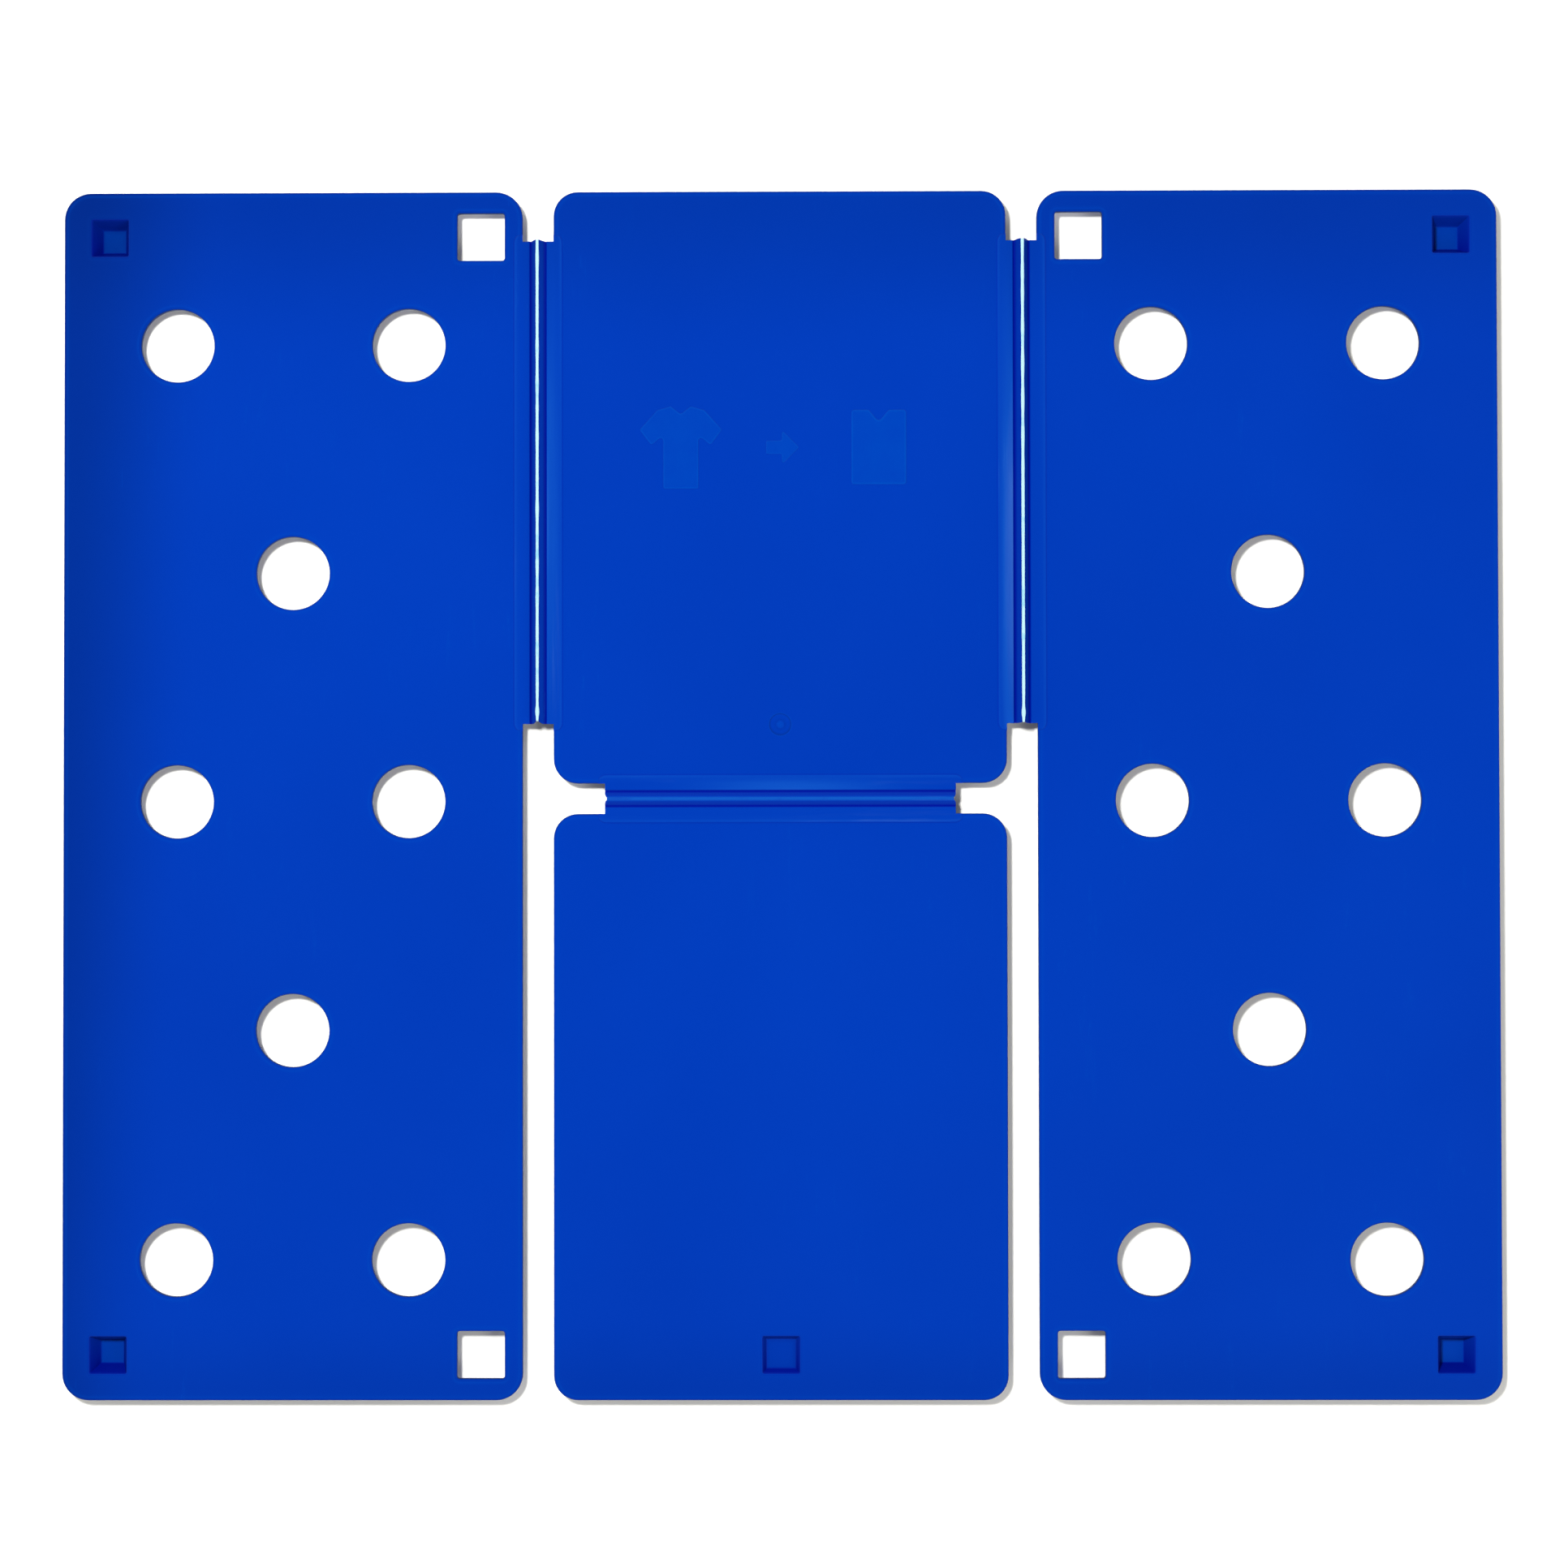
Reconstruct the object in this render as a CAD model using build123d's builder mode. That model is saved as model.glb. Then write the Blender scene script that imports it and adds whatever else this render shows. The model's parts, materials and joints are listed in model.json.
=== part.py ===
from build123d import *
import os
from math import pi

# A shirt folding board, lying open and flat on its feet. Two wings and a lower centre panel fold
# up and over an upper centre panel, each about the crest of a thin moulded hinge.
# +X is to the right, +Y away from the person who folds, +Z up. The origin is on the surface that
# the board stands on, under the middle of the board. Sizes are in millimetres.

# Panels
board_depth = 609.6
centre_width = 228.6
wing_width = 232.2
upper_panel_depth = 299.5
side_gap = 15.6
cross_gap = 15.3
sheet_thickness = 2.5
wing_corner_radius = 13.5
centre_corner_radius = 12.3

# Air holes in the wings, in rows of two and rows of one by turns
air_hole_radius = 18.4
air_hole_column_offset = 58.5
air_hole_row_pitch = 115.4
air_hole_row_count = 5
air_hole_middle_y = -3.6

# Square holes that let the other wing's feet through when both wings are folded
square_hole_width = 23.8
square_hole_corner_radius = 1.3
square_hole_inset = 21.1
end_inset = 22.8

# Feet: hollow square cups that taper downwards
foot_mouth_width = 18.6
foot_corner_radius = 0.8
foot_wall = 1.65
foot_floor_thickness = 1.8
foot_tip_radius = 0.6
wing_pocket_depth = 8.2
wing_pocket_floor = 11.8
centre_pocket_depth = 3.4
centre_pocket_floor = 14.9
nest_offset = 1.6

# Hinges: a flat band on each panel, a ridge between them, and a thin web along the crest
side_hinge_length = 244.1
side_hinge_inset = 25.3
cross_hinge_length = 176.8
band_width = 4.9
band_overrun = 3.7
band_corner_radius = 4.5
band_height = 0.3
leaf_thickness = 1.5
crease_half_width = 3.8
crease_width = 0.5
flank_wall = 1.6
web_width = 1.4
web_thickness = 0.4
notch_depth = 1.4
notch_half_width = 2.5

# Fold lines: the lowest one's height above the sheet, and the room that folded panels leave
cross_fold_height = 1.7
fold_clearance = 0.4

# Mark of the moulding gate on the upper centre panel: a shallow dish with a pip in it
gate_mark_radius = 5.5
gate_mark_depth = 0.4
gate_pip_radius = 1.6
gate_mark_y = 35.0

# Heights
sheet_top = wing_pocket_depth + foot_floor_thickness
sheet_bottom = sheet_top - sheet_thickness
centre_foot_drop = centre_pocket_depth + foot_floor_thickness - sheet_thickness
band_depth = leaf_thickness - band_height
web_lift = web_width / pi

# The lower panel folds first, the left wing lies over its foot, and the right wing over the left
left_fold_height = cross_fold_height + (sheet_thickness + centre_foot_drop + fold_clearance) / 2
right_fold_height = left_fold_height + (sheet_thickness + band_height + fold_clearance) / 2

# Places
board_end_y = board_depth / 2
upper_panel_end_y = board_end_y - upper_panel_depth
lower_panel_start_y = upper_panel_end_y - cross_gap
lower_panel_depth = board_end_y + lower_panel_start_y
cross_hinge_y = upper_panel_end_y - cross_gap / 2
side_hinge_x = (centre_width + side_gap) / 2
side_hinge_y = board_end_y - side_hinge_inset - side_hinge_length / 2
wing_inner_x = centre_width / 2 + side_gap
wing_middle_x = wing_inner_x + wing_width / 2
inset_y = board_end_y - end_inset

# A wing's feet land on the other wing's square holes when both wings are folded over the centre
square_hole_x = wing_inner_x + square_hole_inset
folded_square_hole_x = 2 * side_hinge_x - square_hole_x
foot_x = 2 * side_hinge_x + folded_square_hole_x + nest_offset

SIDES = {"left": -1, "right": 1}
ENDS = {"upper": 1, "lower": -1}
UP = (0, 0, 1)


def write_node(solid, node):
    """Labels a finished piece and writes it."""
    solid.label = node
    export_step(solid, f"parts/{node}.step")


def pocket_width(pocket, depth):
    """Width of a foot's tapered pocket at a depth below the top of the sheet."""
    pocket_depth, floor_width = pocket
    return foot_mouth_width - (foot_mouth_width - floor_width) * depth / pocket_depth


def square_sketch(x, y, depth, width):
    """A rounded square across a foot, at a depth below the top of the sheet."""
    with BuildSketch(Plane((x, y, sheet_top - depth))) as square:
        RectangleRounded(width, width, foot_corner_radius)
    return square.sketch


def cut_pocket_mouth(x, y, pocket):
    """Cuts the stretch of a foot's pocket that lies in the sheet."""
    squares = [square_sketch(x, y, depth, pocket_width(pocket, depth)) for depth in (0, sheet_thickness)]
    loft(squares, mode=Mode.SUBTRACT)


def write_foot(node, x, y, pocket):
    """Makes a hollow foot under the sheet, open at the top where the pocket's mouth is."""
    pocket_depth = pocket[0]
    outer_depths = (sheet_thickness, pocket_depth + foot_floor_thickness)
    inner_depths = (sheet_thickness, pocket_depth)
    with BuildPart() as foot:
        loft(
            [
                square_sketch(x, y, depth, pocket_width(pocket, depth) + 2 * foot_wall)
                for depth in outer_depths
            ]
        )
        fillet(foot.faces().sort_by(Axis.Z)[0].edges(), foot_tip_radius)
        loft(
            [square_sketch(x, y, depth, pocket_width(pocket, depth)) for depth in inner_depths],
            mode=Mode.SUBTRACT,
        )
    write_node(foot.part, node)


def hinge_plan(hinge, outward, height):
    """A level plane on a hinge's fold line: x runs outwards from the line and y along it."""
    return Plane((*hinge["middle"], height), x_dir=outward, z_dir=UP)


def band_sketch(hinge, outward):
    """The flat band of a hinge leaf, which lies let into its panel and is round at its far corners."""
    inner = hinge["gap"] / 2
    outer = inner + band_width
    half_length = hinge["length"] / 2 + band_overrun
    with BuildSketch(hinge_plan(hinge, outward, sheet_top - band_depth)) as band:
        with BuildLine():
            FilletPolyline(
                (inner, half_length),
                (outer, half_length),
                (outer, -half_length),
                (inner, -half_length),
                radius=band_corner_radius,
            )
            Line((inner, -half_length), (inner, half_length))
        make_face()
    return band.sketch


def cut_band_seat(hinge, outward):
    """Cuts the seat of a hinge leaf's band into its panel."""
    extrude(band_sketch(hinge, outward), amount=leaf_thickness, mode=Mode.SUBTRACT)


def write_leaf(node, hinge, outward):
    """Makes one side of a hinge: the band, the strip across the gap and the ridge's flank."""
    crest = hinge["fold_height"] - web_lift + web_thickness / 2
    outward = Vector(outward)
    section = Plane((*hinge["middle"], sheet_top), x_dir=outward, z_dir=outward.cross(Vector(UP)))
    with BuildPart() as leaf:
        with BuildSketch(section):
            with BuildLine():
                Polyline(
                    (hinge["gap"] / 2, band_height),
                    (crease_half_width + crease_width, band_height),
                    (crease_half_width, 0),
                    (web_width / 2, crest),
                    (web_width / 2, crest - web_thickness),
                    (crease_half_width - flank_wall, -band_depth),
                    (hinge["gap"] / 2, -band_depth),
                    close=True,
                )
            make_face()
        extrude(amount=hinge["length"] / 2, both=True)
        extrude(band_sketch(hinge, outward), amount=leaf_thickness)
        for end in (1, -1):
            end_y = end * hinge["length"] / 2
            with BuildSketch(hinge_plan(hinge, outward, sheet_top - band_depth)):
                with BuildLine():
                    notch_tip_y = end_y - end * notch_depth
                    Polyline((0, end_y), (notch_half_width, end_y), (0, notch_tip_y), close=True)
                make_face()
            extrude(amount=band_depth + hinge["fold_height"], mode=Mode.SUBTRACT)
    write_node(leaf.part, node)


def write_web(node, hinge):
    """Makes the thin strip that joins a hinge's two leaves along the crest."""
    across = Vector(hinge["outward"])
    middle_height = sheet_top + hinge["fold_height"] - web_lift
    with BuildPart() as web:
        with BuildSketch(hinge_plan(hinge, across, middle_height)):
            Rectangle(web_width, hinge["length"] - 2 * notch_depth)
        extrude(amount=web_thickness / 2, both=True)
    write_node(web.part, node)


def panel_sketch(x, y, width, depth, corner_radius):
    """A panel's outline on the underside of the sheet."""
    with BuildSketch(Plane((x, y, sheet_bottom))) as outline:
        RectangleRounded(width, depth, corner_radius)
    return outline.sketch


def air_hole_centres(side):
    """Centres of a wing's air holes, from the upper row down: two, one, two, one, two."""
    centres = []
    for row in range(air_hole_row_count):
        y = air_hole_middle_y + ((air_hole_row_count - 1) / 2 - row) * air_hole_row_pitch
        columns = (-1, 1) if row % 2 == 0 else (0,)
        centres += [(side * wing_middle_x + column * air_hole_column_offset, y) for column in columns]
    return centres


os.makedirs("parts", exist_ok=True)

wing_pocket = (wing_pocket_depth, wing_pocket_floor)
centre_pocket = (centre_pocket_depth, centre_pocket_floor)
side_hinges = {
    name: {
        "middle": (side * side_hinge_x, side_hinge_y),
        "outward": (side, 0, 0),
        "length": side_hinge_length,
        "gap": side_gap,
        "fold_height": fold_height,
    }
    for (name, side), fold_height in zip(SIDES.items(), (left_fold_height, right_fold_height))
}
cross_hinge = {
    "middle": (0, cross_hinge_y),
    "outward": (0, -1, 0),
    "length": cross_hinge_length,
    "gap": cross_gap,
    "fold_height": cross_fold_height,
}

# Upper centre panel
with BuildPart() as upper_centre_panel:
    upper_panel_middle_y = board_end_y - upper_panel_depth / 2
    outline = panel_sketch(0, upper_panel_middle_y, centre_width, upper_panel_depth, centre_corner_radius)
    extrude(outline, amount=sheet_thickness)
    for name, side in SIDES.items():
        cut_band_seat(side_hinges[name], (-side, 0, 0))
    cut_band_seat(cross_hinge, (0, 1, 0))
    with BuildSketch(Plane((0, gate_mark_y, sheet_top))):
        Circle(gate_mark_radius)
        Circle(gate_pip_radius, mode=Mode.SUBTRACT)
    extrude(amount=-gate_mark_depth, mode=Mode.SUBTRACT)
write_node(upper_centre_panel.part, "upper_centre_panel")

# Lower centre panel and its foot
with BuildPart() as lower_centre_panel:
    lower_panel_middle_y = lower_panel_start_y - lower_panel_depth / 2
    outline = panel_sketch(0, lower_panel_middle_y, centre_width, lower_panel_depth, centre_corner_radius)
    extrude(outline, amount=sheet_thickness)
    cut_band_seat(cross_hinge, (0, -1, 0))
    cut_pocket_mouth(0, -inset_y, centre_pocket)
write_node(lower_centre_panel.part, "lower_centre_panel")
write_foot("lower_centre_foot", 0, -inset_y, centre_pocket)

# Wings and their feet
for name, side in SIDES.items():
    with BuildPart() as wing_panel:
        outline = panel_sketch(side * wing_middle_x, 0, wing_width, board_depth, wing_corner_radius)
        extrude(outline, amount=sheet_thickness)
        with BuildSketch(Plane.XY.offset(sheet_bottom)):
            with Locations(*air_hole_centres(side)):
                Circle(air_hole_radius)
            with Locations((side * square_hole_x, inset_y), (side * square_hole_x, -inset_y)):
                RectangleRounded(square_hole_width, square_hole_width, square_hole_corner_radius)
        extrude(amount=sheet_thickness, mode=Mode.SUBTRACT)
        cut_band_seat(side_hinges[name], (side, 0, 0))
        for end in ENDS.values():
            cut_pocket_mouth(side * foot_x, end * inset_y, wing_pocket)
    write_node(wing_panel.part, f"{name}_wing_panel")
    for end_name, end in ENDS.items():
        write_foot(f"{name}_wing_{end_name}_foot", side * foot_x, end * inset_y, wing_pocket)

# Hinges
for name, side in SIDES.items():
    write_leaf(f"{name}_hinge_centre_leaf", side_hinges[name], (-side, 0, 0))
    write_leaf(f"{name}_hinge_wing_leaf", side_hinges[name], (side, 0, 0))
    write_web(f"{name}_hinge_web", side_hinges[name])
write_leaf("lower_hinge_centre_leaf", cross_hinge, (0, 1, 0))
write_leaf("lower_hinge_panel_leaf", cross_hinge, (0, -1, 0))
write_web("lower_hinge_web", cross_hinge)
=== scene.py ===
import json
import math

import bmesh
import bpy
from mathutils import Matrix, Vector, noise
from mathutils.geometry import delaunay_2d_cdt
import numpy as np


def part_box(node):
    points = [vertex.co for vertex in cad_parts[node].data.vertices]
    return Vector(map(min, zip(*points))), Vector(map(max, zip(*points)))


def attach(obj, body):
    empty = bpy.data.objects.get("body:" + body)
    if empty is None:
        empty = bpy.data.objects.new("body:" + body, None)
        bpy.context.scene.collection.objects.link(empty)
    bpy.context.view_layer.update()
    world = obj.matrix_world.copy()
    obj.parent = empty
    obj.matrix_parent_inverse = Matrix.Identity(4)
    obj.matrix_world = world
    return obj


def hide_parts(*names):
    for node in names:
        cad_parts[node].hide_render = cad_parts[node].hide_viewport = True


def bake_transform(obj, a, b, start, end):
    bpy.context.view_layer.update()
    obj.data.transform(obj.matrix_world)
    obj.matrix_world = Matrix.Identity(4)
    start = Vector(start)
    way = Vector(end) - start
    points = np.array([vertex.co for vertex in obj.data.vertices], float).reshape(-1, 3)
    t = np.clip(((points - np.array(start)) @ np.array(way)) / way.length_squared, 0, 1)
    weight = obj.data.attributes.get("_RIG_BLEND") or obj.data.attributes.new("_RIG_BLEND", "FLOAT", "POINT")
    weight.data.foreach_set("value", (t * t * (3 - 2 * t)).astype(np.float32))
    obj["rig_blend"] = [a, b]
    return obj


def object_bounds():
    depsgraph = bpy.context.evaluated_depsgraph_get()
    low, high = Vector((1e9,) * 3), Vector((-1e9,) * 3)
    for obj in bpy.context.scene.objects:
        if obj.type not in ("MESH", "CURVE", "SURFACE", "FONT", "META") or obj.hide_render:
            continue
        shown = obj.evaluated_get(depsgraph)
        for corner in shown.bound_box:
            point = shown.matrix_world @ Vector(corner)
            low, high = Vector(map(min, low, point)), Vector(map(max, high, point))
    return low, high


# A blue moulded shirt folding board, open and flat on a white table. All sizes are in metres.

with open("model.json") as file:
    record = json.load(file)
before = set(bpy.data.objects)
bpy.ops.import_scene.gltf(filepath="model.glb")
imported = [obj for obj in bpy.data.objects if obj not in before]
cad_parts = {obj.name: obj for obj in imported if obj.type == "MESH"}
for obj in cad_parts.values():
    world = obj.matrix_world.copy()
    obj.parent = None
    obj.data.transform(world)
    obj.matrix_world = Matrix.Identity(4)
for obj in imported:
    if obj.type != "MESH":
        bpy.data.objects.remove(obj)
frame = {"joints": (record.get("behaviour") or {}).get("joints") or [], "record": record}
CAD_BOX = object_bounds()
MM = 0.001
# The mesh attribute that places painted shade (below 0) and painted highlights (above 0) on a piece
SHADE = "shade"

# ---------------------------------------------------------------------------------------------
# Sizes that the frame gives
# ---------------------------------------------------------------------------------------------
SIDES = {"left": -1, "right": 1}
ENDS = {"upper": 1, "lower": -1}
SHEET_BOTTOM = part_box("upper_centre_panel")[0].z
SHEET_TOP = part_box("upper_centre_panel")[1].z
OPENINGS = frame["record"]["physics"]["openings"]
JOINTS = {joint["name"]: joint for joint in frame["joints"]}

# Sizes of the moulded detail
CENTRE_CORNER_RADIUS = 12.3 * MM
WING_CORNER_RADIUS = 13.5 * MM
AIR_HOLE_RADIUS = 18.4 * MM
SQUARE_HOLE_WIDTH = 23.8 * MM
SQUARE_HOLE_CORNER_RADIUS = 1.3 * MM
FOOT_MOUTH_WIDTH = 18.6 * MM
FOOT_CORNER_RADIUS = 0.8 * MM
FOOT_WALL = 1.65 * MM
FOOT_FLOOR = 1.8 * MM
WING_POCKET_FLOOR_WIDTH = 11.8 * MM
CENTRE_POCKET_FLOOR_WIDTH = 14.9 * MM
EDGE_RADIUS = 0.7 * MM
POCKET_LIP_RADIUS = 0.55 * MM

# Painted shade in the pockets: a pair of shades runs from the lower to the upper side of a pocket, darker
# below; the deep pockets' floors are painted lighter
POCKET_WALL_SHADE = (-0.95, -0.45)
POCKET_FOOT_SHADE = (-0.8, -0.5)
POCKET_FLOOR_SHADE = 0.30
SHALLOW_FLOOR_SHADE = 0.0

# The mesh's fineness and its tolerances
GRID_STEP = 11 * MM
FINE_STEP = 4 * MM
LEAST_RADIUS = 0.01 * MM
MERGE_DISTANCE = 1e-7
# A triangle that is flatter than this is a rounding error along a straight edge
SLIVER_RATIO = 1e-4

GATE_MARK_Y = 35.0 * MM
GATE_MARK_RADIUS = 5.5 * MM
GATE_MARK_DEPTH = 0.3 * MM
GATE_PIP_RADIUS = 1.6 * MM


# ---------------------------------------------------------------------------------------------
# Outlines: functions of an outward growth that give the same number of points each time
# ---------------------------------------------------------------------------------------------
def spaced(start, end, step):
    """Points from start up to, but not at, end, evenly spaced."""
    count = max(1, round((Vector(end) - Vector(start)).length / step))
    return [Vector(start).lerp(Vector(end), i / count) for i in range(count)]


def rounded_rectangle(centre, width, depth, radius, corner_steps=10, side_step=GRID_STEP):
    """An anticlockwise rounded rectangle."""
    half = Vector((width / 2, depth / 2))
    side_counts = [max(1, round((2 * half[i % 2] - 2 * radius) / side_step)) for i in (1, 0, 1, 0)]

    def points(growth=0.0):
        corner_radius = max(radius + growth, LEAST_RADIUS)
        inset = half + Vector((growth, growth)) - Vector((corner_radius, corner_radius))
        arcs = []
        for quarter, signs in enumerate(((1, 1), (-1, 1), (-1, -1), (1, -1))):
            middle = Vector(centre) + Vector((signs[0] * inset.x, signs[1] * inset.y))
            arc = []
            for step in range(corner_steps + 1):
                angle = math.radians(90) * (quarter + step / corner_steps)
                arc.append(middle + corner_radius * Vector((math.cos(angle), math.sin(angle))))
            arcs.append(arc)
        outline = []
        for quarter, arc in enumerate(arcs):
            following = arcs[(quarter + 1) % 4][0]
            outline += arc
            count = side_counts[(quarter + 1) % 4]
            outline += [arc[-1].lerp(following, i / count) for i in range(1, count)]
        return outline

    return points


def circle(centre, radius, steps=72):
    """An anticlockwise circle."""

    def points(growth=0.0):
        turns = [2 * math.pi * i / steps for i in range(steps)]
        return [Vector(centre) + (radius + growth) * Vector((math.cos(t), math.sin(t))) for t in turns]

    return points


def rounded_polygon(corners, radius, corner_steps=5):
    """An anticlockwise polygon whose corners, inner ones too, are rounded."""
    corners = [Vector(corner) for corner in corners]

    def points(growth=0.0):
        outline = []
        for i, corner in enumerate(corners):
            before = (corner - corners[i - 1]).normalized()
            after = (corners[(i + 1) % len(corners)] - corner).normalized()
            turn = math.atan2(before.x * after.y - before.y * after.x, before.dot(after))
            side = math.copysign(1.0, turn)
            reach = max(radius + side * growth, LEAST_RADIUS)
            outward = Vector((before.y, -before.x)) + Vector((after.y, -after.x))
            grown = corner + outward.normalized() * growth / math.cos(turn / 2)
            middle = grown - outward.normalized() * side * reach / math.cos(turn / 2)
            start = math.atan2(-before.x * side, before.y * side)
            for step in range(corner_steps + 1):
                angle = start + turn * step / corner_steps
                outline.append(middle + reach * Vector((math.cos(angle), math.sin(angle))))
        return outline

    return points


def inside(point, outline):
    """True if a point lies in a polygon."""
    x, y = point
    found = False
    for i, (ax, ay) in enumerate(outline):
        bx, by = outline[i - 1]
        if (ay > y) != (by > y) and x < (bx - ax) * (y - ay) / (by - ay) + ax:
            found = not found
    return found


# ---------------------------------------------------------------------------------------------
# Mesh helpers
# ---------------------------------------------------------------------------------------------
def rounded_lip(radius, top, steps=4):
    """(inset, height, shade) from a flat top over a rounded edge to a wall: painted darker as it turns, as
    shade.
    """
    turns = [math.radians(90) * i / steps for i in range(steps + 1)]
    return [
        (radius * (1 - math.sin(turn)), top - radius * (1 - math.cos(turn)), -math.sin(turn) ** 2)
        for turn in turns
    ]


def highlit_margin(top, lip, highlight=0.28):
    """The flat ring beside an edge, with a painted highlight where it is 1 mm or so from the lip."""
    return [(lip + 2.2 * MM, top, 0.0), (lip + 1.0 * MM, top, highlight), (lip + 0.3 * MM, top, -0.1)]


def wall_profile(top, bottom, radius=EDGE_RADIUS):
    """A margin, a rounded lip, a straight wall and a smaller lip at its bottom."""
    upper = rounded_lip(radius, top)
    turned = reversed(rounded_lip(0.6 * radius, top))
    lower = [(inset, bottom + top - height, shade) for inset, height, shade in turned]
    return highlit_margin(top, radius) + upper + lower


def new_mesh():
    """A bmesh with the shade attribute, which has to be there before the first point."""
    mesh = bmesh.new()
    mesh.verts.layers.float.new(SHADE)
    return mesh


def add_vert(mesh, place, shade=0.0):
    vert = mesh.verts.new(place)
    vert[mesh.verts.layers.float[SHADE]] = shade
    return vert


def add_ring(mesh, outline, height, shade=0.0):
    """A ring of points. Where the shade is a pair, it runs from the ring's lower end to its upper."""
    low_shade, high_shade = shade if isinstance(shade, tuple) else (shade, shade)
    low, high = (bound(y for _, y in outline) for bound in (min, max))
    ring = []
    for x, y in outline:
        share = (y - low) / (high - low)
        ring.append(add_vert(mesh, (x, y, height), low_shade + (high_shade - low_shade) * share))
    return ring


def bridge(mesh, ring_a, ring_b, flip=False, material_index=0):
    """Joins two rings of the same number of points with quads."""
    for i in range(len(ring_a)):
        quad = (ring_a[i - 1], ring_b[i - 1], ring_b[i], ring_a[i])
        face = mesh.faces.new(quad[::-1] if flip else quad)
        face.material_index = material_index


def fill(mesh, outer, holes, height, step, upward=True):
    """Fills the face between an outer ring and hole rings with triangles on an even grid."""
    rings = [outer, *holes]
    outlines = [[(v.co.x, v.co.y) for v in ring] for ring in rings]
    verts = [v for ring in rings for v in ring]
    coords = [Vector((v.co.x, v.co.y)) for v in verts]
    edges, offset = [], 0
    for ring in rings:
        edges += [(offset + i, offset + (i + 1) % len(ring)) for i in range(len(ring))]
        offset += len(ring)
    xs, ys = [c[0] for c in outlines[0]], [c[1] for c in outlines[0]]
    boxes = [
        (min(x for x, _ in o), max(x for x, _ in o), min(y for _, y in o), max(y for _, y in o))
        for o in outlines
    ]

    def free(x, y, margin):
        if not inside((x, y), outlines[0]):
            return False
        for outline, (x0, x1, y0, y1) in zip(outlines[1:], boxes[1:]):
            if x0 - margin < x < x1 + margin and y0 - margin < y < y1 + margin:
                if margin or inside((x, y), outline):
                    return False
        return True

    columns = max(2, round((max(xs) - min(xs)) / step)) if step else 0
    rows = max(2, round((max(ys) - min(ys)) / step)) if step else 0
    clear = step * 0.35 if step else 0
    for row in range(1, rows):
        for column in range(1, columns):
            x = min(xs) + (max(xs) - min(xs)) * (column + 0.5 * (row % 2) - 0.25) / columns
            y = min(ys) + (max(ys) - min(ys)) * row / rows
            near_edge = min(x - min(xs), max(xs) - x, y - min(ys), max(ys) - y) < clear
            if not near_edge and free(x, y, clear):
                verts.append(add_vert(mesh, (x, y, height)))
                coords.append(Vector((x, y)))
    _, _, triangles, origins, _, _ = delaunay_2d_cdt(coords, edges, [], 0, MERGE_DISTANCE)
    for triangle in triangles:
        corners = [verts[origins[i][0]] for i in triangle]
        middle = sum((Vector((c.co.x, c.co.y)) for c in corners), Vector((0, 0))) / 3
        if free(middle.x, middle.y, 0):
            side_a, side_b = corners[1].co - corners[0].co, corners[2].co - corners[0].co
            turn = side_a.cross(side_b).z
            longest = max(side_a.length, side_b.length, (side_a - side_b).length)
            if (turn > 0) != upward:
                corners.reverse()
            if abs(turn) > SLIVER_RATIO * longest**2:
                mesh.faces.new(corners)


def finish_piece(mesh, name, material, body=None, stands_for=(), smooth_angle=35):
    """Turns a bmesh into a smooth-shaded object that rides on a body.

    material is one material, or a list that the faces' material indices choose from.
    """
    bmesh.ops.remove_doubles(mesh, verts=mesh.verts, dist=MERGE_DISTANCE)
    bmesh.ops.recalc_face_normals(mesh, faces=mesh.faces)
    for edge in mesh.edges:
        sharp = len(edge.link_faces) == 2 and edge.calc_face_angle() > math.radians(smooth_angle)
        edge.smooth = not sharp
    for face in mesh.faces:
        face.smooth = True
    data = bpy.data.meshes.new(name)
    mesh.to_mesh(data)
    mesh.free()
    for each in material if isinstance(material, list) else [material]:
        data.materials.append(each)
    piece = bpy.data.objects.new(name, data)
    bpy.context.scene.collection.objects.link(piece)
    if body:
        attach(piece, body)
    if stands_for:
        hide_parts(*stands_for)
    return piece


def plate(outer, through=(), dishes=(), top=SHEET_TOP, bottom=SHEET_BOTTOM, step=GRID_STEP):
    """A flat plate with holes through it and dishes in its top.

    outer is (outline, profile), and through and dishes are lists of the same, with the material
    index of the hole's wall added where it isn't 0. A profile is a list of (inset into the
    material, height, shade) from the top down.
    """
    mesh = new_mesh()

    def skirt(outline, profile, sign, flip, material_index=0):
        rings = [add_ring(mesh, outline(sign * inset), height, shade) for inset, height, shade in profile]
        for above, below in zip(rings, rings[1:]):
            bridge(mesh, above, below, flip, material_index)
        return rings

    outer_rings = skirt(*outer, -1, False)
    hole_rings = [skirt(outline, profile, 1, True, *index) for outline, profile, *index in through]
    dish_rings = [skirt(*dish, 1, True) for dish in dishes]
    for rings in dish_rings:
        mesh.faces.new(rings[-1])
    fill(mesh, outer_rings[0], [r[0] for r in hole_rings + dish_rings], top, step, True)
    fill(mesh, outer_rings[-1], [r[-1] for r in hole_rings], bottom, step, False)
    return mesh


# ---------------------------------------------------------------------------------------------
# Materials
# ---------------------------------------------------------------------------------------------
def new_material(name):
    material = bpy.data.materials.new(name)
    material.use_nodes = True
    tree = material.node_tree
    return material, tree, tree.nodes["Principled BSDF"]


def add_node(tree, kind, **values):
    """A node with the given input values, or settings where it has no input of that name."""
    node = tree.nodes.new(kind)
    for key, value in values.items():
        if key in node.inputs:
            node.inputs[key].default_value = value
        else:
            setattr(node, key, value)
    return node


def link(tree, source, output, target, socket):
    tree.links.new(source.outputs[output], target.inputs[socket])


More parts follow.
